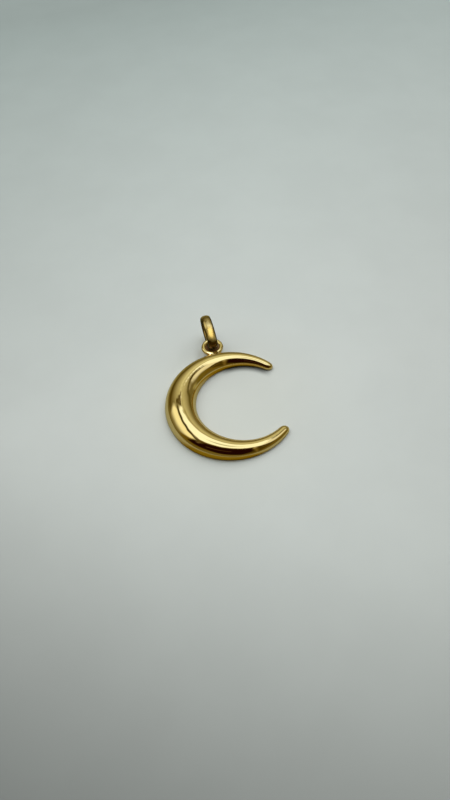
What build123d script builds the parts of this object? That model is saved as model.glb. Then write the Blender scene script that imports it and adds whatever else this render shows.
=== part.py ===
from build123d import *
from math import cos, radians, sin, sqrt
import os

# Crescent moon pendant lying on its flat back, in millimetres.
# +Z is up, +Y points from the moon to its bail, and the horns open towards +X.

# Moon outline: a large circle less a smaller one that sits towards the horns
moon_diameter = 26.0
gap_diameter = 18.5
waist_width = 6.1
upper_horn_reach = 136.5
lower_horn_reach = 139.0
horn_width = 1.95
horn_taper = 6
opening_turn = -8.0

# Moon section: flat back, small rounded edges, domed front
waist_height = 3.0
edge_radius = 0.2
section_count = 17

# Eye: a ring of round wire soldered to the rim of the moon
eye_diameter = 4.5
eye_wire = 0.82
eye_sink = 0.8

# Bail: a loose half-round ring through the eye, standing on its rim
bail_diameter = 7.3
bail_width = 2.0
bail_wall = 0.7
bail_edge_radius = 0.12
bail_lean = 4.0
bail_turn = 0.0

# Clearances
link_gap = 0.3
rest_gap = 0.02
bail_past_wire = 0.25

# Places that follow from the sizes
moon_radius = moon_diameter / 2
gap_radius = gap_diameter / 2
gap_offset = waist_width - moon_radius + gap_radius
waist_angle = 180 + opening_turn
dome_share = (waist_height - edge_radius) / waist_width

bail_radius = bail_diameter / 2
bail_rise = bail_wall - bail_edge_radius
upright, sideways = cos(radians(bail_lean)), sin(radians(bail_lean))
# The leaning ring touches down where the half ellipse of its outer face is lowest
bail_foot = (bail_radius - bail_rise) * upright + sqrt((bail_rise * upright) ** 2 + (bail_width / 2 * sideways) ** 2)
bail_height = rest_gap + bail_foot
wire_to_bail_centre = bail_radius - bail_wall - link_gap - eye_wire / 2
eye_height = bail_height - sqrt(wire_to_bail_centre**2 - bail_past_wire**2)
eye_ring_radius = (eye_diameter - eye_wire) / 2
eye_y = moon_radius + eye_diameter / 2 - eye_sink
bail_y = eye_y + eye_ring_radius + bail_past_wire


def width_between_circles(angle):
    """Distance from the inner to the outer circle along a radius, by the angle from the waist."""
    along = -gap_offset * cos(radians(angle))
    inner = along + sqrt(gap_radius**2 - gap_offset**2 + along**2)
    return moon_radius - inner


def moon_width(angle):
    """Width of the crescent, drawn in a little on both sides towards the end of a horn."""
    reach = upper_horn_reach if angle < 0 else lower_horn_reach
    drawn_in = width_between_circles(reach) - horn_width
    return width_between_circles(angle) - drawn_in * abs(angle / reach) ** horn_taper


def section_plane(angle):
    """Upright plane across the crescent, with its origin at the middle of the width."""
    turn = radians(waist_angle + angle)
    middle = moon_radius - width_between_circles(angle) / 2
    outward = (cos(turn), sin(turn), 0)
    return Plane(
        origin=(middle * cos(turn), middle * sin(turn), 0),
        x_dir=outward,
        z_dir=(sin(turn), -cos(turn), 0),
    )


def dome_profile(width):
    """Outline of a whole section: flat back, quarter-round edges and half an ellipse."""
    half = width / 2
    back = Line((-half + edge_radius, 0), (half - edge_radius, 0))
    JernArc(back @ 1, (1, 0), edge_radius, 90)
    EllipticalCenterArc((0, edge_radius), half, dome_share * width, 0, arc_size=180)
    JernArc((-half, edge_radius), (0, -1), edge_radius, 90)


def half_dome_profile(width):
    """The inward half of a section, closed along its upright middle line."""
    half = width / 2
    middle = Line((0, 0), (0, edge_radius + dome_share * width))
    EllipticalCenterArc((0, edge_radius), half, dome_share * width, 90, arc_size=90)
    edge = JernArc((-half, edge_radius), (0, -1), edge_radius, 90)
    Line(edge @ 1, middle @ 0)


# Crescent with its eye, one piece of metal
with BuildPart() as crescent:
    for index in range(section_count):
        part_way = index / (section_count - 1)
        angle = -upper_horn_reach + part_way * (upper_horn_reach + lower_horn_reach)
        with BuildSketch(section_plane(angle)):
            with BuildLine():
                dome_profile(moon_width(angle))
            make_face()
    loft()
    # Each horn ends in half a turn of its own last section
    for angle, turn in ((-upper_horn_reach, 180), (lower_horn_reach, -180)):
        end_plane = section_plane(angle)
        with BuildSketch(end_plane):
            with BuildLine():
                half_dome_profile(moon_width(angle))
            make_face()
        revolve(axis=Axis(end_plane.origin, (0, 0, 1)), revolution_arc=turn)
    # Eye ring
    with BuildSketch(Plane.YZ):
        with Locations((eye_y + eye_ring_radius, eye_height)):
            Circle(eye_wire / 2)
    revolve(axis=Axis((0, eye_y, 0), (0, 0, 1)))

# Bail ring, its inner face plain and its outer face half round
across = Vector(1, 0, 0).rotate(Axis.Y, -bail_lean).rotate(Axis.Z, bail_turn)
back_along = Vector(0, -1, 0).rotate(Axis.Z, bail_turn)
bail_plane = Plane(origin=(0, bail_y, bail_height), x_dir=across, z_dir=back_along)
bail_half = bail_width / 2
bail_inner = bail_radius - bail_wall
with BuildPart() as bail:
    with BuildSketch(bail_plane):
        with BuildLine():
            inner_face = Line(
                (-bail_half + bail_edge_radius, bail_inner),
                (bail_half - bail_edge_radius, bail_inner),
            )
            JernArc(inner_face @ 1, (1, 0), bail_edge_radius, 90)
            EllipticalCenterArc((0, bail_inner + bail_edge_radius), bail_half, bail_rise, 0, arc_size=180)
            JernArc((-bail_half, bail_inner + bail_edge_radius), (0, -1), bail_edge_radius, 90)
        make_face()
    revolve(axis=Axis(bail_plane.origin, across))

# The origin is on the table under the middle of the whole pendant
box = Compound([crescent.part, bail.part]).bounding_box()
to_origin = Location((-box.center().X, -box.center().Y, 0))
crescent.part.move(to_origin)
bail.part.move(to_origin)

os.makedirs("parts", exist_ok=True)

crescent.part.label = "crescent"
export_step(crescent.part, "parts/crescent.step")

bail.part.label = "bail"
export_step(bail.part, "parts/bail.step")
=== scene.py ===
import bmesh
import bpy
import numpy as np
from bpy.props import FloatProperty, FloatVectorProperty, PointerProperty
from mathutils import Matrix, Vector


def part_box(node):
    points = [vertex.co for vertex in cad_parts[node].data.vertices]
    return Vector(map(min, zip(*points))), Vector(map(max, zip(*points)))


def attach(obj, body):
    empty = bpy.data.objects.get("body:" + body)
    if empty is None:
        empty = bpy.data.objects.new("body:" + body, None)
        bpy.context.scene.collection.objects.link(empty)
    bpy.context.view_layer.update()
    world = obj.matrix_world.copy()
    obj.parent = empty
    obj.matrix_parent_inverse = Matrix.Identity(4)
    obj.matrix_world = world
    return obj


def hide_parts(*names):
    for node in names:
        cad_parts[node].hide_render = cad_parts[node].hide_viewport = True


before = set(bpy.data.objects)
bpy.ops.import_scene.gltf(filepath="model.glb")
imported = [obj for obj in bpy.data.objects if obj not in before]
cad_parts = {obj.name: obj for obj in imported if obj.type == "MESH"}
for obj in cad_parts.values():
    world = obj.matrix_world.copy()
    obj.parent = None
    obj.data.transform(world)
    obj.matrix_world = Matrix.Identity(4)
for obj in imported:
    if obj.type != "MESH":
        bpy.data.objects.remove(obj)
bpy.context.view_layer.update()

bl_info = {
    "name": "Moon Pendant",
    "version": (1, 0, 0),
    "blender": (4, 5, 0),
    "location": "3D View > Sidebar > Pendant",
    "description": "Builds a polished gold moon pendant with its eye, bail, table and studio light",
    "category": "Add Mesh",
}

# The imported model's boxes, in metres, and lengths of one millimetre and one degree
BAIL_LOW, BAIL_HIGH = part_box("bail")
BAIL_CENTRE = (BAIL_LOW + BAIL_HIGH) / 2
MM = 0.001
DEGREE = np.pi / 180

# Distances from which the overhead and the small light panels shine
OVERHEAD_REACH = 0.6
SMALL_REACH = 0.06


def length(label, about, millimetres):
    """A size that the panel shows as a length, given in millimetres."""
    return FloatProperty(name=label, description=about, default=millimetres * MM, unit="LENGTH", precision=5)


def turn(label, about, degrees):
    """An angle that the panel shows in degrees."""
    return FloatProperty(name=label, description=about, default=degrees * DEGREE, subtype="ANGLE")


def number(label, about, value, low=0.0, high=1000.0):
    """A plain number without a unit."""
    return FloatProperty(name=label, description=about, default=value, min=low, max=high)


def tint(label, about, colour):
    """A linear colour."""
    return FloatVectorProperty(
        name=label, description=about, default=colour, size=3, subtype="COLOR", min=0, max=1
    )


class MoonSizes(bpy.types.PropertyGroup):
    """Sizes of the crescent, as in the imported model."""

    outer: length("Moon diameter", "Diameter of the outer circle", 26.0)
    gap: length("Gap diameter", "Diameter of the circle taken out between the horns", 18.5)
    waist: length("Waist width", "Width at the widest place", 6.1)
    height: length("Waist height", "Height of the dome at the waist", 3.0)
    edge: length("Edge radius", "Rounding between the dome and the flat back", 0.2)
    horn: length("Horn width", "Width where a horn's round end begins", 1.95)
    taper: number("Horn taper", "How suddenly a horn is drawn in towards its end", 6.0, 1.0, 20.0)
    upper_reach: turn("Upper horn reach", "Angle from the waist to the upper horn's end", 136.5)
    lower_reach: turn("Lower horn reach", "Angle from the waist to the lower horn's end", 139.0)
    opening_turn: turn("Opening turn", "Turn of the opening from +X", -8.0)
    tip_length: number("Tip length", "Length of a round end, by half the horn width", 1.3, 1.0, 3.0)
    tip_fullness: number("Tip fullness", "2 is an ellipse in plan, more is blunter", 2.6, 2.0, 6.0)
    ripple: length("Polishing ripple", "Depth of the soft waves that hand polishing leaves", 0.0016)


class EyeSizes(bpy.types.PropertyGroup):
    """Sizes of the soldered eye ring."""

    outer: length("Eye diameter", "Outer diameter of the ring", 4.5)
    wire: length("Eye wire", "Thickness of the round wire", 0.82)
    sink: length("Eye sink", "How far the ring reaches into the moon's outer circle", 0.8)
    height: length("Eye height", "Height of the wire's middle above the table", 1.44)
    solder: length("Solder fillet", "Reach of the solder between ring and moon", 0.3)


class BailSizes(bpy.types.PropertyGroup):
    """Sizes of the loose bail ring."""

    outer: length("Bail diameter", "Outer diameter of the ring", 7.3)
    width: length("Bail width", "Width of the band", 2.0)
    wall: length("Bail wall", "Thickness of the band at its middle", 0.7)
    edge: length("Bail edge", "Rounding of the band's inner edges", 0.12)
    lean: turn("Bail lean", "Lean of the standing ring", 4.0)
    turned: turn("Bail turn", "Turn of the ring about the upright", 0.0)
    past_wire: length("Past the wire", "How far the bail's middle lies beyond the eye's wire", 0.25)


class GoldColours(bpy.types.PropertyGroup):
    """Colours and polish of the gold."""

    moon: tint("Moon gold", "Colour of the crescent", (0.93, 0.70, 0.33))
    bail: tint("Bail gold", "Colour of the bail", (0.88, 0.65, 0.29))
    solder: tint("Solder", "Colour of the darker gold at the joint", (0.52, 0.36, 0.14))
    # Near black used for painted shade: the bail's foot, top and edges, the eye's wire by the moon; on the
    # bail's inner face it is dirt too
    dirt_and_shade: tint("Grime", "Colour where bail and eye rub, and along the bail's edges", (0.11, 0.055, 0.008))
    rubbed: number("Bail roughness", "Roughness of the bail, which chains have rubbed", 0.25, 0.0, 1.0)
    polish: number("Roughness", "Roughness of the polished gold", 0.035, 0.0, 1.0)


class StudioSettings(bpy.types.PropertyGroup):
    """Camera, table and light."""

    azimuth: turn("Camera azimuth", "Direction that the camera looks from", -11.8)
    elevation: turn("Camera elevation", "Height of the camera above the horizon", 52.54)
    roll: turn("Camera roll", "Turn of the picture", -4.47)
    distance: length("Camera distance", "From the lens to the table", 122.24)
    lens: number("Lens", "Focal length for a 36 mm sensor", 27.9, 1.0, 500.0)
    table_size: length("Table size", "Side of the table", 3000.0)
    table: tint("Table colour", "Pale colour of the table", (0.835, 0.868, 0.898))
    table_near: tint("Table near", "Colour of the table round the pendant", (0.836, 0.857, 0.857))
    table_far: tint("Far table colour", "Cooler colour of the table behind the pendant", (0.77, 0.88, 0.90))
    # Painted shade in reflections: how dim and warm the table looks in the gold, not to the camera
    mirrored: tint("Mirrored table", "Share of the table that the gold mirrors", (0.60, 0.60, 0.45))
    mirrored_front: tint("Mirrored front", "The same, in front and in the upper bend", (0.40, 0.28, 0.02))
    mirrored_back: tint("Mirrored back", "The same, behind the pendant", (0.36, 0.30, 0.09))
    in_ring: tint("Shade in the eye", "The table in the eye ring's shade", (0.24, 0.12, 0.06))
    backdrop: tint("Backdrop", "What the camera sees above the table", (0.62, 0.66, 0.63))
    reflected: number("Reflected light", "Strength of the soft shapes that the gold mirrors", 1.0, 0.0, 100.0)
    strip: number("Bail strip", "Power in milliwatts that sets both small panels", 10.0, 0.0, 100.0)
    fill: number("Table light", "Power in watts of the panels for the table alone", 1.9, 0.0, 100.0)


def mesh_piece(name, points, faces, material):
    """A smooth mesh from an (n, 3) array of points and an (m, 4) array of faces.
    Points that coincide, at seams and poles, become one, and flat faces are dropped."""
    mesh = bpy.data.meshes.new(name)
    mesh.from_pydata(points, [], faces)
    work = bmesh.new()
    work.from_mesh(mesh)
    bmesh.ops.remove_doubles(work, verts=work.verts, dist=1e-8)
    bmesh.ops.dissolve_degenerate(work, edges=work.edges, dist=1e-9)
    bmesh.ops.recalc_face_normals(work, faces=work.faces)
    work.to_mesh(mesh)
    work.free()
    mesh.shade_smooth()
    piece = bpy.data.objects.new(name, mesh)
    bpy.context.scene.collection.objects.link(piece)
    piece.data.materials.append(material)
    return piece


def ring_faces(rows, columns, close_rows):
    """Faces of a rows by columns grid of points, closed across the columns and, if asked, across the rows."""
    row = np.arange(rows if close_rows else rows - 1)[:, None]
    column = np.arange(columns)[None]
    next_row, next_column = (row + 1) % rows, (column + 1) % columns
    corners = [row * columns + column, next_row * columns + column,
               next_row * columns + next_column, row * columns + next_column]
    return np.stack(corners, -1).reshape(-1, 4)


def width_between_circles(moon, angle):
    """Distance along a radius from the gap circle to the outer circle, by the angle from the waist."""
    gap_offset = moon.waist - moon.outer / 2 + moon.gap / 2
    along = -gap_offset * np.cos(angle)
    return moon.outer / 2 - along - np.sqrt((moon.gap / 2) ** 2 - gap_offset**2 + along**2)


def moon_width(moon, angle):
    """Width between the circles, drawn in by a power of the angle to the horn's width at the reach."""
    reach = np.where(angle < 0, moon.upper_reach, moon.lower_reach)
    drawn_in = width_between_circles(moon, reach) - moon.horn
    return width_between_circles(moon, angle) - drawn_in * np.minimum(abs(angle / reach), 1) ** moon.taper


def moon_stations(moon, body=520, tip=34):
    """Angle, width and middle radius of each section, from the upper tip to the lower one.
    In a tip the width falls with the root of 1 - x^n. There x runs from 0 to 1, and the stations crowd to
    the end."""
    def end(reach):
        middle = moon.outer / 2 - width_between_circles(moon, reach) / 2
        half = moon.horn / 2 / middle
        return reach + half, moon.tip_length * half
    upper_end, upper_tip = end(moon.upper_reach)
    lower_end, lower_tip = end(moon.lower_reach)
    x = np.sin(np.linspace(np.pi / 2, 0, tip, endpoint=False))
    angle = np.concatenate([
        -upper_end + upper_tip * (1 - x),
        np.linspace(-upper_end + upper_tip, lower_end - lower_tip, body),
        (lower_end - lower_tip * (1 - x))[::-1],
    ])
    into_tip = np.concatenate([x, np.zeros(body), x[::-1]])
    width = moon_width(moon, angle) * np.sqrt(1 - into_tip**moon.tip_fullness)
    middle = moon.outer / 2 - width_between_circles(moon, angle) / 2
    return angle, width, middle


def moon_centre():
    """Centre of the outer circle on the table, set back from the bail by the sizes between them."""
    sizes = bpy.context.scene.pendant_moon, bpy.context.scene.pendant_eye, bpy.context.scene.pendant_bail
    moon, eye, bail = sizes
    eye_y = moon.outer / 2 + eye.outer / 2 - eye.sink
    bail_y = eye_y + (eye.outer - eye.wire) / 2 + bail.past_wire
    return np.array([BAIL_CENTRE.x, BAIL_CENTRE.y - bail_y, 0.0])


def eye_centre():
    """Middle of the eye ring, beside the moon's outer circle by the ring's radius less its sink."""
    moon, eye = bpy.context.scene.pendant_moon, bpy.context.scene.pendant_eye
    return moon_centre() + np.array([0, moon.outer / 2 + eye.outer / 2 - eye.sink, eye.height])


def to_frame(moon, angle, radius, height):
    """Points in the part's frame, by the angle from the waist, the radius from the centre and the height."""
    bearing = np.pi + moon.opening_turn + angle
    centre = moon_centre()
    return np.stack([centre[0] + radius * np.cos(bearing), centre[1] + radius * np.sin(bearing), height], -1)


def moon_surface(moon, across=88, edge_steps=7, back_steps=3):
    """Closed sections, one for each station. The dome is half an ellipse, as high as a share of its width.
    The edge is a quarter circle set in along the outline's normal, and the back is flat."""
    angle, width, middle = moon_stations(moon)
    share = (moon.height - moon.edge) / moon.waist
    v = np.linspace(0, np.pi, across)
    radius = middle[:, None] + width[:, None] / 2 * np.cos(v)
    height = moon.edge + share * width[:, None] * np.sin(v)
    dome = to_frame(moon, angle[:, None] + 0 * v, radius, height)

    # The outline runs along the outer side and back along the inner side, and each tip is in it once
    outer, inner = dome[:, 0], dome[::-1, -1]
    outline = np.concatenate([outer, inner[1:-1]])
    ahead = np.roll(outline, -1, 0) - np.roll(outline, 1, 0)
    inward = np.stack([-ahead[:, 1], ahead[:, 0], 0 * ahead[:, 0]], -1)
    inward /= np.linalg.norm(inward, axis=1)[:, None]
    middle_line = to_frame(moon, angle, middle, 0 * middle)
    quarter = len(outer) // 2
    if np.dot(inward[quarter], middle_line[quarter] - outer[quarter]) < 0:
        inward = -inward
    inward_outer = inward[:len(outer)]
    inward_inner = np.concatenate([inward[:1], inward[len(outer):][::-1], inward[len(outer) - 1:len(outer)]])

    u = np.linspace(0, np.pi / 2, edge_steps)[1:]
    set_in, drop = moon.edge * (1 - np.cos(u)), moon.edge * np.sin(u)
    down = np.array([0, 0, -1.0])
    edge_inner = dome[:, -1][:, None] + inward_inner[:, None] * set_in[:, None] + down * drop[:, None]
    edge_outer = dome[:, 0][:, None] + inward_outer[:, None] * set_in[:, None] + down * drop[:, None]
    share_over = np.linspace(0, 1, back_steps + 2)[1:-1][:, None]
    back = edge_inner[:, -1:] + (edge_outer[:, -1:] - edge_inner[:, -1:]) * share_over
    sections = np.concatenate([dome, edge_inner, back, edge_outer[:, ::-1]], 1)
    return polished(moon, sections, across)


def polished(moon, sections, across):
    """The dome with the soft waves of hand polishing, a sum of slow sines of the place, along the normal."""
    dome = sections[:, :across]
    along = np.gradient(dome, axis=0)
    over = np.gradient(dome, axis=1)
    normal = np.cross(along, over)
    size = np.linalg.norm(normal, axis=-1, keepdims=True)
    normal = normal / np.maximum(size, 1e-12)
    normal *= np.where(normal[..., 2:] < 0, -1, 1)
    x, y, z = np.moveaxis(dome / MM, -1, 0)
    wave = (np.sin(1.9 * x + 0.7 * y + 1.1 * z) + np.sin(-0.8 * x + 2.3 * y + 2.0)
            + 0.6 * np.sin(3.1 * x - 2.7 * y + 1.9 * z + 0.5) + 0.4 * np.sin(5.3 * x + 4.1 * y + 4.0))
    fade = np.sin(np.linspace(0, np.pi, across))[:, None]
    sections = sections.copy()
    sections[:, :across] = dome + normal * (moon.ripple * wave[..., None] * fade)
    return sections


def distance_to_dome(moon, points):
    """Rough distance of points from the moon's surface, negative inside, by the nearest section's ellipse."""
    centre = moon_centre()
    x, y = points[..., 0] - centre[0], points[..., 1] - centre[1]
    angle = (np.arctan2(y, x) - np.pi - moon.opening_turn + np.pi) % (2 * np.pi) - np.pi
    width = moon_width(moon, angle)
    middle = moon.outer / 2 - width_between_circles(moon, angle) / 2
    rise = (moon.height - moon.edge) / moon.waist * width
    aside = (np.hypot(x, y) - middle) / (width / 2)
    above = np.maximum(points[..., 2] - moon.edge, 0) / rise
    return (np.hypot(aside, above) - 1) * width / 2


def eye_surface(moon, eye, around=224, section=64):
    """A ring of round wire. Near the moon the wire swells by a quarter circle's curve, as solder does."""
    p = np.linspace(0, 2 * np.pi, around, endpoint=False)[:, None]
    q = np.linspace(0, 2 * np.pi, section, endpoint=False)[None]
    centre = eye_centre()
    ring = (eye.outer - eye.wire) / 2
    outward = np.stack([np.cos(p) + 0 * q, np.sin(p) + 0 * q, 0 * p + 0 * q], -1)
    upward = np.array([0, 0, 1.0])
    away = outward * np.cos(q)[..., None] + upward * np.sin(q)[..., None]
    surface = centre + outward * ring + away * eye.wire / 2
    near = eye.solder - np.clip(distance_to_dome(moon, surface), 0, eye.solder)
    swell = eye.solder - np.sqrt(eye.solder**2 - near**2)
    return surface + away * np.minimum(swell, 0.8 * eye.solder)[..., None]


def half_round_profile(bail, face_steps=9, edge_steps=5, dome_steps=48):
    """Closed profile of the band, across and out from the ring's middle.
    The inner face is straight, its edges are quarter circles and the outside is half an ellipse."""
    half, inner = bail.width / 2, bail.outer / 2 - bail.wall
    face = np.linspace(-half + bail.edge, half - bail.edge, face_steps)
    u = np.linspace(-np.pi / 2, 0, edge_steps)[1:]
    v = np.linspace(0, np.pi, dome_steps)[1:]
    across = np.concatenate([face, half - bail.edge + bail.edge * np.cos(u), half * np.cos(v),
                             (-half + bail.edge - bail.edge * np.cos(u))[::-1][1:]])
    rise = bail.wall - bail.edge
    out = np.concatenate([inner + 0 * face, inner + bail.edge + bail.edge * np.sin(u),
                          inner + bail.edge + rise * np.sin(v),
                          (inner + bail.edge + bail.edge * np.sin(u))[::-1][1:]])
    return across, out


def bail_axis(bail):
    """Direction of the ring's axis: along X, leant about Y and turned about Z."""
    return Matrix.Rotation(bail.turned, 3, "Z") @ Matrix.Rotation(-bail.lean, 3, "Y") @ Vector((1, 0, 0))


def bail_surface(bail, around=320):
    """The profile carried round the ring's axis, which leans and turns with the bail."""
    across, out = half_round_profile(bail)
    p = np.linspace(0, 2 * np.pi, around, endpoint=False)[:, None]
    axis = bail_axis(bail)
    forward = Matrix.Rotation(bail.turned, 3, "Z") @ Vector((0, 1, 0))
    upward = np.array(axis.cross(forward))
    outward = np.array(forward) * np.cos(p)[..., None] + upward * np.sin(p)[..., None]
    return np.array(BAIL_CENTRE) + np.array(axis) * across[None, :, None] + outward * out[None, :, None]


class NodeBuilder:
    """Short ways to add and join the nodes of a material or a world."""

    def __init__(self, owner, coordinates="Object"):
        owner.use_nodes = True
        self.tree = owner.node_tree
        self.place = self.add("ShaderNodeTexCoord").outputs[coordinates]

    def add(self, kind, **values):
        node = self.tree.nodes.new(kind)
        for name, value in values.items():
            setattr(node, name, value)
        return node

    def feed(self, socket, value):
        """Join a socket to another one, or set its value."""
        if isinstance(value, bpy.types.NodeSocket):
            self.tree.links.new(value, socket)
        else:
            socket.default_value = value

    def math(self, operation, *values):
        node = self.add("ShaderNodeMath", operation=operation)
        for socket, value in zip(node.inputs, values):
            self.feed(socket, value)
        return node.outputs["Value"]

    def vector(self, operation, *values, scale=None):
        """A vector operation. Length, distance and dot product give a number, the others a vector."""
        node = self.add("ShaderNodeVectorMath", operation=operation)
        for socket, value in zip(node.inputs, values):
            self.feed(socket, value)
        if scale is not None:
            self.feed(node.inputs["Scale"], scale)
        single = operation in ("LENGTH", "DISTANCE", "DOT_PRODUCT")
        return node.outputs["Value" if single else "Vector"]

    def noise(self, scale, detail=2.0, roughness=0.5, stretch=None):
        """Noise of a given scale, in features for each metre, along the object's own axes."""
        node = self.add("ShaderNodeTexNoise")
        self.feed(node.inputs["Scale"], scale)
        self.feed(node.inputs["Detail"], detail)
        self.feed(node.inputs["Roughness"], roughness)
        place = self.place
        if stretch is not None:
            mapping = self.add("ShaderNodeMapping")
            self.feed(mapping.inputs["Scale"], stretch)
            self.feed(mapping.inputs["Vector"], place)
            place = mapping.outputs["Vector"]
        self.feed(node.inputs["Vector"], place)
        return node.outputs["Fac"]

    def spread(self, source, low, high, to_low, to_high, smooth=True):
        """A value mapped from one range to another, held inside it."""
        node = self.add("ShaderNodeMapRange", interpolation_type="SMOOTHSTEP" if smooth else "LINEAR")
        for name, value in (("From Min", low), ("From Max", high), ("To Min", to_low), ("To Max", to_high)):
            self.feed(node.inputs[name], value)
        self.feed(node.inputs["Value"], source)
        return node.outputs["Result"]

    def blend(self, factor, first, second):
        """A colour between two others, by a factor. Each is a colour or a socket."""
        node = self.add("ShaderNodeMix", data_type="RGBA")
        self.feed(node.inputs["Factor"], factor)
        for name, colour in (("A", first), ("B", second)):
            socket = next(s for s in node.inputs if s.name == name and s.type == "RGBA")
            self.feed(socket, colour if isinstance(colour, bpy.types.NodeSocket) else (*colour, 1))
        return next(s for s in node.outputs if s.type == "RGBA")

    def near(self, point, reach, soft):
        """1 within a distance of a point and 0 beyond it, with a soft border."""
        return self.spread(self.vector("DISTANCE", self.place, point), reach, reach + soft, 1, 0)

    def bump(self, height, strength, depth):
        node = self.add("ShaderNodeBump")
        self.feed(node.inputs["Strength"], strength)
        self.feed(node.inputs["Distance"], depth)
        self.feed(node.inputs["Height"], height)
        return node.outputs["Normal"]


def new_finish(name):
    """An empty material with its shader and the short ways to its nodes."""
    material = bpy.data.materials.new(name)
    build = NodeBuilder(material)
    return material, build, build.tree.nodes["Principled BSDF"].inputs


def gold(name, colour, stain_and_shade, polish, place, reach, soft, dull=0.0, marks_and_shade=None):
    """Polished gold: a slightly uneven tone, darkened within reach of a place by a second colour, with
    hairlines and faint haze.
    That colour is solder on the moon and painted shade on the eye and the bail. Round that place its
    roughness grows by the dull share, where the polishing wheel does not reach. The last argument is a
    function that adds a piece's own dirt and painted shade to its colour."""
    material, build, shader = new_finish(name)
    tone = build.spread(build.noise(260, 3), 0.35, 0.7, 0, 1)
    base = build.blend(tone, colour, tuple(c * k for c, k in zip(colour, (0.98, 0.96, 0.92))))
    ragged = build.spread(build.noise(1500, 3), 0.3, 0.7, -0.15 * MM, 0.15 * MM)
    away = build.math("ADD", build.vector("DISTANCE", build.place, place), ragged)
    # Solder at the moon's joint; painted shade on the eye and at the bail's foot
    base = build.blend(build.spread(away, reach, reach + soft, 1, 0), base, stain_and_shade)
    if marks_and_shade:
        base = marks_and_shade(build, base, stain_and_shade)
    build.feed(shader["Base Color"], base)
    shader["Metallic"].default_value = 1.0
    haze = build.spread(build.noise(420, 4, 0.6), 0.3, 0.75, polish * 0.8, polish * 1.6)
    if dull:
        duller = build.spread(away, 2.4 * reach, 2.4 * reach + 1.5 * soft, dull, 0)
        haze = build.math("ADD", haze, duller)
    build.feed(shader["Roughness"], haze)
    build.feed(shader["Normal"], build.bump(build.noise(9000, 3, 0.6), 0.05, 0.01 * MM))
    return material


def bail_dirt_and_shade(build, base, stain_and_shade):
    """The bail's band with painted shade: brown on its inner face by the distance from the ring's axis, as
    dirt and shade, a little brown near its top, as a painted dark reflection, and dark towards both of its
    edges by the distance from the ring's middle plane, as painted shade."""
    bail = bpy.context.scene.pendant_bail
    half, inner = bail.width / 2, bail.outer / 2 - bail.wall
    axis = tuple(bail_axis(bail))
    offset = build.vector("SUBTRACT", build.place, tuple(BAIL_CENTRE))

    # Painted shade and dirt on the inner face
    from_axis = build.vector("DISTANCE", offset, build.vector("PROJECT", offset, axis))
    inside = build.spread(from_axis, inner + bail.edge, inner + 2 * bail.edge, 0.85, 0)
    base = build.blend(inside, base, stain_and_shade)

    # Painted dark reflection near the top
    top = tuple(BAIL_CENTRE + Vector((-0.2 * MM, 0.3 * MM, bail.outer / 2)))
    near_top = build.math("MULTIPLY", build.near(top, 0.8 * MM, 0.9 * MM), 0.5)
    base = build.blend(near_top, base, stain_and_shade)

    # Painted shade towards both edges
    aside = build.math("ABSOLUTE", build.vector("DOT_PRODUCT", offset, axis))
    sides = build.spread(aside, 0.66 * half, 0.88 * half, 0, 0.9)
    return build.blend(sides, base, tuple(0.35 * c for c in stain_and_shade))


def horn_shade(build):
    """A factor that darkens the table in a band inside the gap's circle, in the shade of the upper horn."""
    moon = bpy.context.scene.pendant_moon
    offset = moon.waist - moon.outer / 2 + moon.gap / 2
    towards = np.array([np.cos(moon.opening_turn), np.sin(moon.opening_turn), 0])
    from_gap = build.vector("DISTANCE", build.place, tuple(moon_centre() + offset * towards))
    band = build.spread(from_gap, moon.gap / 2 - 1.5 * MM, moon.gap / 2, 0, 0.75)
    under_moon = build.spread(from_gap, moon.gap / 2 + MM, moon.gap / 2 + 2 * MM, 1, 0)
    band = build.math("MULTIPLY", band, under_moon)
    band = build.math("MULTIPLY", band, build.near((6.6 * MM, 4.6 * MM, 0), 3 * MM, 3 * MM))
    return build.math("SUBTRACT", 1, band)


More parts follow.
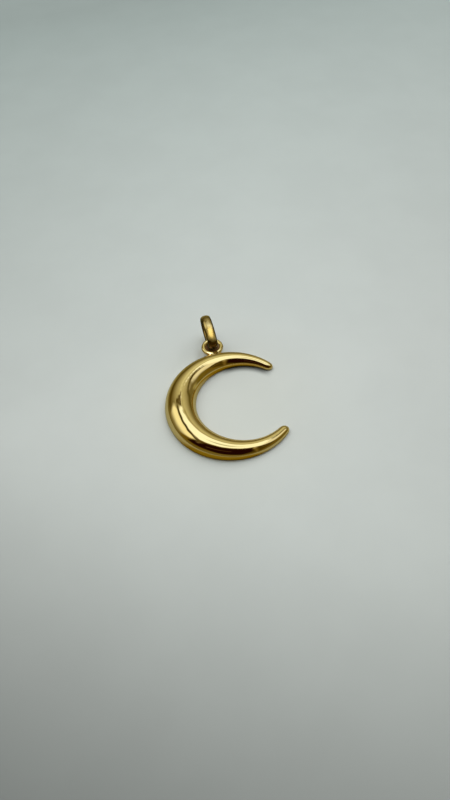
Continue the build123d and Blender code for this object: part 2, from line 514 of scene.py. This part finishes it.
def table_finish(studio):
    """Pale matt table, a little uneven, with a painted pool of light in its colour. It is darkest in front,
    falls off slowly behind and beside the pendant, and is cooler away from it."""
    material, build, shader = new_finish("table_paper")
    towards_front = build.vector("DOT_PRODUCT", build.place, (-0.5, -0.866, 0))
    behind = build.vector("DOT_PRODUCT", build.place, (0, 1, 0))
    aside = build.math("ABSOLUTE", build.vector("DOT_PRODUCT", build.place, (1, -0.28, 0)))
    far = build.spread(behind, 0, 180 * MM, 0, 1, smooth=False)

    # Painted pool of light: the table's brightness falls off in front, behind and to the sides
    light = build.spread(towards_front, 14 * MM, 90 * MM, 1, 0.33)
    light = build.math("ADD", light, build.spread(towards_front, 100 * MM, 260 * MM, 0, 0.5))
    light = build.math("MULTIPLY", light, build.spread(behind, 0, 200 * MM, 1, 0.48, smooth=False))
    edge = build.math("MULTIPLY", build.spread(aside, 0, 85 * MM, 0, 0.16), build.math("SUBTRACT", 1, far))
    light = build.math("MULTIPLY", light, build.math("SUBTRACT", 1, edge))
    light = build.math("MULTIPLY", light, horn_shade(build))
    mottle = build.spread(build.noise(60, 4, 0.55), 0.3, 0.7, 0.97, 1)
    light = build.math("MULTIPLY", light, mottle)

    # Painted tint of the light: cooler behind the pendant, warmer round it
    colour = build.blend(far, studio.table, studio.table_far)
    colour = build.blend(build.near((0, -2 * MM, 0), 4 * MM, 26 * MM), colour, studio.table_near)
    shade = build.vector("SCALE", colour, scale=light)
    in_ring = build.near(eye_centre() * (1, 1, 0) + (0.1 * MM, 1.05 * MM, 0), 1.4 * MM, 0.6 * MM)
    shade = build.blend(in_ring, shade, studio.in_ring)

    # Painted shade in reflections: what the gold mirrors is warmer and dimmer in front of the pendant, in its
    # upper bend and behind it
    in_front = build.near((-5 * MM, -16.8 * MM, 0), 7 * MM, 4.5 * MM)
    in_bend = build.near((3.7 * MM, 3.9 * MM, 0), 3.2 * MM, 3 * MM)
    back = build.spread(behind, 8 * MM, 12 * MM, 0, 1)
    dim = build.blend(back, studio.mirrored, studio.mirrored_back)
    dim = build.blend(build.math("MAXIMUM", in_front, in_bend), dim, studio.mirrored_front)
    mirrored = build.vector("MULTIPLY", shade, dim)
    by_gold = build.add("ShaderNodeLightPath").outputs["Is Glossy Ray"]
    build.feed(shader["Base Color"], build.blend(by_gold, shade, mirrored))
    shader["Roughness"].default_value = 0.6
    shader["Specular IOR Level"].default_value = 0.1
    build.feed(shader["Normal"], build.bump(build.noise(2500, 3), 0.08, 0.02 * MM))
    return material


def joint_place():
    """Where the eye's ring meets the moon's rim."""
    moon, eye = bpy.context.scene.pendant_moon, bpy.context.scene.pendant_eye
    return moon_centre() + np.array([-0.1 * MM, moon.outer / 2 + 0.1 * MM, eye.height])


class PENDANT_OT_moon(bpy.types.Operator):
    """Build the domed crescent with its rounded horns and flat back"""

    bl_idname = "pendant.moon"
    bl_label = "Crescent"

    def execute(self, context):
        moon, colours = context.scene.pendant_moon, context.scene.pendant_gold
        sections = moon_surface(moon)
        rows, columns = sections.shape[:2]
        joint, reach, soft, dull = joint_place(), 0.45 * MM, 0.5 * MM, 0.4
        finish = gold("moon_gold", colours.moon, colours.solder, colours.polish, joint, reach, soft, dull)
        piece = mesh_piece("moon", sections.reshape(-1, 3), ring_faces(rows, columns, False), finish)
        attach(piece, "root")
        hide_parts("crescent")
        return {"FINISHED"}


class PENDANT_OT_eye(bpy.types.Operator):
    """Build the eye ring of round wire with the solder that holds it"""

    bl_idname = "pendant.eye"
    bl_label = "Eye ring"

    def execute(self, context):
        eye, colours = context.scene.pendant_eye, context.scene.pendant_gold
        surface = eye_surface(context.scene.pendant_moon, eye)
        rows, columns = surface.shape[:2]
        # Painted shade: the eye's wire is darkened with the near black where it meets the moon and the bail's
        # foot
        by_joint = eye_centre() + np.array([0.2 * MM, (eye.wire - eye.outer) / 2, 0.35 * MM])
        reach, soft = 0.45 * MM, 0.3 * MM
        finish = gold("eye_gold", colours.moon, colours.dirt_and_shade, colours.polish, by_joint, reach, soft)
        piece = mesh_piece("eye", surface.reshape(-1, 3), ring_faces(rows, columns, True), finish)
        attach(piece, "root")
        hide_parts("crescent")
        return {"FINISHED"}


class PENDANT_OT_bail(bpy.types.Operator):
    """Build the half-round bail ring that a chain passes through"""

    bl_idname = "pendant.bail"
    bl_label = "Bail"

    def execute(self, context):
        bail, gold_colours = context.scene.pendant_bail, context.scene.pendant_gold
        surface = bail_surface(bail)
        rows, columns = surface.shape[:2]
        # Painted shade: the bail's foot, down inside the eye ring, is darkened with the near black
        foot = np.array(BAIL_CENTRE) + np.array([-0.6 * MM, -bail.outer / 2, -0.8 * MM])
        colour, stain_and_shade, polish = gold_colours.bail, gold_colours.dirt_and_shade, gold_colours.rubbed
        finish = gold("bail_gold", colour, stain_and_shade, polish, foot, 1.7 * MM, 1.1 * MM, marks_and_shade=bail_dirt_and_shade)
        piece = mesh_piece("bail_ring", surface.reshape(-1, 3), ring_faces(rows, columns, True), finish)
        # Left out of what the gold mirrors, because its dark foot would lie across the moon as a streak
        piece.visible_glossy = False
        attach(piece, "root")
        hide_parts("bail")
        return {"FINISHED"}


# What the gold mirrors, painted one over the other on a dim warm room. Places are in degrees from straight
# overhead, right of and away from the camera, and each shape ends in its colour.
# A disc has its middle, its two half widths and the share of them that is full.
# A panel has corners anticlockwise and, for the side after each, the width of its soft border.
# A bar has its two ends, its width and the width of its soft border.
ROOM = (0.16, 0.14, 0.05)
GAP = (0.055, 0.042, 0.002)
DARK = (0.07, 0.05, 0.004)
SOFT_SHAPES = (
    # Glow on the far side with a dark arch round it, and the dark towards the camera
    ("disc", (6, 46), (58, 33), 0.1, (0.56, 0.58, 0.40)),
    ("disc", (2, 45), (12, 8), 0.2, (0.70, 0.76, 0.58)),
    ("bar", (-62, 46), (-44, 76), 16, 18, DARK),
    ("bar", (-44, 76), (-22, 73), 10, 14, (0.10, 0.08, 0.015)),
    ("bar", (58, 66), (58, 46), 10, 12, (0.10, 0.085, 0.015)),
    ("bar", (28, 88), (10, 88), 12, 14, (0.13, 0.12, 0.04)),
    ("panel", ((-88, -8), (-66, -52), (0, -76), (52, -64), (80, -14), (60, -8), (0, -4)),
     (16, 16, 16, 16, 16, 16, 16), (0.14, 0.10, 0.01)),
    ("panel", ((-68, -22), (-62, -38), (-20, -68), (16, -76), (46, -62), (54, -30), (46, -12), (-20, -10.5)),
     (9, 9, 6, 6, 8, 8, 6, 5), (0.06, 0.04, 0.002)),
    ("panel", ((-67, -23), (-60, -36), (-20, -66), (14, -72), (30, -50), (20, -12), (-18, -11)),
     (8, 8, 6, 6, 6, 5, 5), (0.014, 0.0026, 0.001)),
    # Left, right and main panel, the last with a dimmer middle
    ("panel", ((-64, -8), (-48, -14), (-30, -10), (-22, 8), (-26, 33), (-40, 38), (-62, 34), (-66, 17)),
     (10, 8, 6, 6, 7, 8, 40, 44), (1.04, 1.10, 0.88)),
    ("panel", ((25, -6), (38, -10), (54, -2), (58, 10), (43, 25), (34, 25), (26, 14)),
     (6, 7, 16, 18, 6, 5, 5), (0.86, 0.92, 0.88)),
    ("disc", (46, 30), (10, 8), 0.3, (0.30, 0.29, 0.20)),
    ("panel", ((-22, -3), (-12, -5), (10, -5), (27, -4), (26, 16), (14.5, 36), (3, 38), (-13, 34), (-19, 24)),
     (4, 5, 5, 6, 5, 4, 3, 4, 4), (1.16, 1.33, 1.40)),
    ("disc", (4, 14), (11, 7), 0.3, (0.56, 0.64, 0.58)),
    # Dark lines between the panels and beside them
    ("bar", (-31, -10), (-27.7, 6), 7, 5, GAP),
    ("bar", (-27.7, 6), (-22.5, 22), 8, 5, GAP),
    ("bar", (-22.5, 22), (-18, 32), 9, 6, (0.07, 0.055, 0.005)),
    ("bar", (-21, 38), (-8, 38), 3, 3, (0.09, 0.07, 0.012)),
    ("bar", (-8, 38), (3, 38.5), 2.5, 2, (0.12, 0.10, 0.04)),
    ("bar", (11, 41), (16, 43), 3, 4, (0.34, 0.33, 0.18)),
    ("bar", (20, 28), (32, 27.5), 4, 3, (0.045, 0.03, 0.001)),
    ("bar", (32, 28), (62, 44), 6, 6, (0.10, 0.085, 0.02)),
    # Thin streaks in the dark, and the low right side
    ("bar", (-40, -22), (-30, -16), 4, 5, (0.15, 0.11, 0.05)),
    ("bar", (22, -8), (26, -24), 4, 4, (0.36, 0.33, 0.17)),
    ("bar", (26, -24), (40, -60), 5, 5, (0.16, 0.115, 0.025)),
    ("bar", (36, -24), (56, -22), 4, 4, (0.13, 0.11, 0.03)),
    ("bar", (-2, -38), (-30, -32), 4, 4, (0.075, 0.04, 0.014)),
    ("bar", (60, -2), (96, -6), 26, 20, (0.15, 0.12, 0.015)),
    ("bar", (76, 22), (96, 20), 14, 12, (0.32, 0.31, 0.14)),
)


class Surroundings(NodeBuilder):
    """The world's nodes: masks of soft shapes on a flat map of the sky."""

    def flat_map(self, studio):
        """The direction as degrees from straight overhead, along the bearing it has seen from above."""
        turned = self.add("ShaderNodeMapping")
        self.feed(turned.inputs["Vector"], self.place)
        self.feed(turned.inputs["Rotation"], (0, 0, -studio.azimuth))
        direction = turned.outputs["Vector"]
        height = self.vector("DOT_PRODUCT", direction, (0, 0, 1))
        polar = self.math("DEGREES", self.math("ARCCOSINE", height))
        bearing = self.vector("NORMALIZE", self.vector("MULTIPLY", direction, (1, 1, 0)))
        return self.vector("SCALE", bearing, scale=polar)

    def disc(self, sky, middle, halves, full):
        """Falls smoothly from 1 at a share of the half widths to 0 at the half widths."""
        offset = self.vector("SUBTRACT", sky, (*middle, 0))
        share = self.vector("LENGTH", self.vector("DIVIDE", offset, (*halves, 1)))
        return self.spread(share, full, 1, 1, 0)

    def panel(self, sky, corners, borders):
        """The product of a smooth ramp over each side, from its outside to its inside."""
        mask = None
        for start, end, border in zip(corners, corners[1:] + corners[:1], borders):
            along = np.subtract(end, start)
            inward = np.array([-along[1], along[0]]) / np.hypot(*along)
            side = float(inward @ start)
            depth = self.vector("DOT_PRODUCT", sky, (*inward, 0))
            ramp = self.spread(depth, side - border / 2, side + border / 2, 0, 1)
            mask = ramp if mask is None else self.math("MULTIPLY", mask, ramp)
        return mask

    def bar(self, sky, start, end, width, border):
        """1 within half the width of the line between two points, by the distance from its nearest point."""
        along = np.subtract(end, start).astype(float)
        offset = self.vector("SUBTRACT", sky, (*start, 0))
        share = self.vector("DOT_PRODUCT", offset, (*(along / (along @ along)), 0))
        share = self.spread(share, 0, 1, 0, 1, smooth=False)
        aside = self.vector("DISTANCE", offset, self.vector("SCALE", (*along, 0), scale=share))
        return self.spread(aside, (width - border) / 2, (width + border) / 2, 1, 0)


def room_light(studio):
    """The world: soft shapes that the gold mirrors, and a plain pale backdrop past the table's edge."""
    world = bpy.data.worlds.new("room")
    bpy.context.scene.world = world
    build = Surroundings(world, "Generated")
    sky = build.flat_map(studio)
    light = None
    for kind, *shape, colour in SOFT_SHAPES:
        mask = getattr(build, kind)(sky, *shape)
        light = build.blend(mask, ROOM if light is None else light, colour)
    light = build.vector("SCALE", light, scale=studio.reflected)
    seen = build.add("ShaderNodeLightPath").outputs["Is Camera Ray"]
    background = build.tree.nodes["Background"].inputs
    build.feed(background["Color"], build.blend(seen, light, studio.backdrop))


def light_panel(name, studio, power, middle, reach, away, right, width, depth):
    """A rectangular light that faces a point, from a distance, and that the camera does not see.
    It hangs over the point when both angles are 0, away and right as seen from the camera."""
    data = bpy.data.lights.new(name, "AREA")
    data.shape = "RECTANGLE"
    data.size, data.size_y = width, depth
    data.energy = power
    light = bpy.data.objects.new(name, data)
    bpy.context.scene.collection.objects.link(light)
    lean = Matrix.Rotation(studio.azimuth, 4, "Z") @ Matrix.Rotation(-away * DEGREE, 4, "X")
    lean = lean @ Matrix.Rotation(right * DEGREE, 4, "Y")
    light.matrix_world = Matrix.Translation(middle) @ lean @ Matrix.Translation((0, 0, reach))
    light.visible_camera = False
    return light


def table_lights(studio):
    """Two soft panels over and behind the pendant that light the table and that the gold does not mirror."""
    for name, right, share in (("right_light", 24, 0.55), ("left_light", -22, 0.45)):
        power = studio.fill * share
        light = light_panel(name, studio, power, (0, 0, 0), OVERHEAD_REACH, 42, right, 0.42, 0.42)
        light.visible_glossy = False


def mirrored_panel(name, piece, power, tone, middle, away, right, width, depth):
    """A panel near the pendant, with a tone, that one piece alone mirrors. Its power is in milliwatts."""
    studio = bpy.context.scene.pendant_studio
    light = light_panel(name, studio, power / 1000, middle, SMALL_REACH, away, right, width, depth)
    light.data.color = tone
    light.visible_diffuse = False
    light.light_linking.receiver_collection = bpy.data.collections.new(name + "_mirror")
    light.light_linking.receiver_collection.objects.link(bpy.data.objects[piece])


def small_panels(studio):
    """A soft panel over the bail and a glint on the eye."""
    strip, eye = studio.strip, eye_centre()
    mirrored_panel("bail_glow", "bail_ring", strip * 2.2, (1, 1, 0.66), BAIL_CENTRE, -41, 11, 0.07, 0.065)
    mirrored_panel("eye_glint", "eye", strip * 1.1, (0.95, 0.88, 1), eye, -14, -20, 0.035, 0.02)


def camera_view(studio):
    """The camera on its sphere round the target, rolled about its own line of sight."""
    target = Vector((0.257 * MM, -2.215 * MM, 0))
    a, e = studio.azimuth, studio.elevation
    back = Vector((np.sin(a) * np.cos(e), -np.cos(a) * np.cos(e), np.sin(e)))
    right = Vector((np.cos(a), np.sin(a), 0))
    up = back.cross(right)
    data = bpy.data.cameras.new("photo_camera")
    data.lens = studio.lens
    data.sensor_width = 36
    data.clip_start = 0.005
    data.clip_end = 20
    camera = bpy.data.objects.new("photo_camera", data)
    bpy.context.scene.collection.objects.link(camera)
    across = right * np.cos(studio.roll) + up * np.sin(studio.roll)
    upright = up * np.cos(studio.roll) - right * np.sin(studio.roll)
    turned = Matrix((across, upright, back)).transposed().to_4x4()
    camera.matrix_world = Matrix.Translation(target + back * studio.distance) @ turned
    bpy.context.scene.camera = camera


class PENDANT_OT_studio(bpy.types.Operator):
    """Set the pale table, the soft surroundings, the table light and the camera"""

    bl_idname = "pendant.studio"
    bl_label = "Table, light and camera"

    def execute(self, context):
        studio = context.scene.pendant_studio
        half = studio.table_size / 2
        corners = [(-half, -half, 0), (half, -half, 0), (half, half, 0), (-half, half, 0)]
        mesh = bpy.data.meshes.new("table")
        mesh.from_pydata(corners, [], [(0, 1, 2, 3)])
        table = bpy.data.objects.new("table", mesh)
        context.scene.collection.objects.link(table)
        table.data.materials.append(table_finish(studio))
        room_light(studio)
        table_lights(studio)
        small_panels(studio)
        camera_view(studio)
        context.scene.view_settings.view_transform = "Standard"
        context.scene.view_settings.look = "None"
        return {"FINISHED"}


class PENDANT_PT_panel(bpy.types.Panel):
    """Lists the pendant's pieces and the studio"""

    bl_idname = "PENDANT_PT_panel"
    bl_label = "Moon pendant"
    bl_space_type = "VIEW_3D"
    bl_region_type = "UI"
    bl_category = "Pendant"

    def draw(self, context):
        for step in STEPS:
            self.layout.operator(step.bl_idname)
        for name in SETTINGS:
            box = self.layout.box()
            group = getattr(context.scene, name)
            for field in group.__annotations__:
                box.prop(group, field)


STEPS = (PENDANT_OT_moon, PENDANT_OT_eye, PENDANT_OT_bail, PENDANT_OT_studio)
SETTINGS = {
    "pendant_moon": MoonSizes,
    "pendant_eye": EyeSizes,
    "pendant_bail": BailSizes,
    "pendant_gold": GoldColours,
    "pendant_studio": StudioSettings,
}


def register():
    for kind in (*SETTINGS.values(), *STEPS, PENDANT_PT_panel):
        bpy.utils.register_class(kind)
    for name, kind in SETTINGS.items():
        setattr(bpy.types.Scene, name, PointerProperty(type=kind))


def unregister():
    for name in SETTINGS:
        delattr(bpy.types.Scene, name)
    for kind in (PENDANT_PT_panel, *reversed(STEPS), *SETTINGS.values()):
        bpy.utils.unregister_class(kind)


def main():
    register()
    bpy.ops.pendant.moon()
    bpy.ops.pendant.eye()
    bpy.ops.pendant.bail()
    bpy.ops.pendant.studio()


if __name__ == "__main__":
    main()
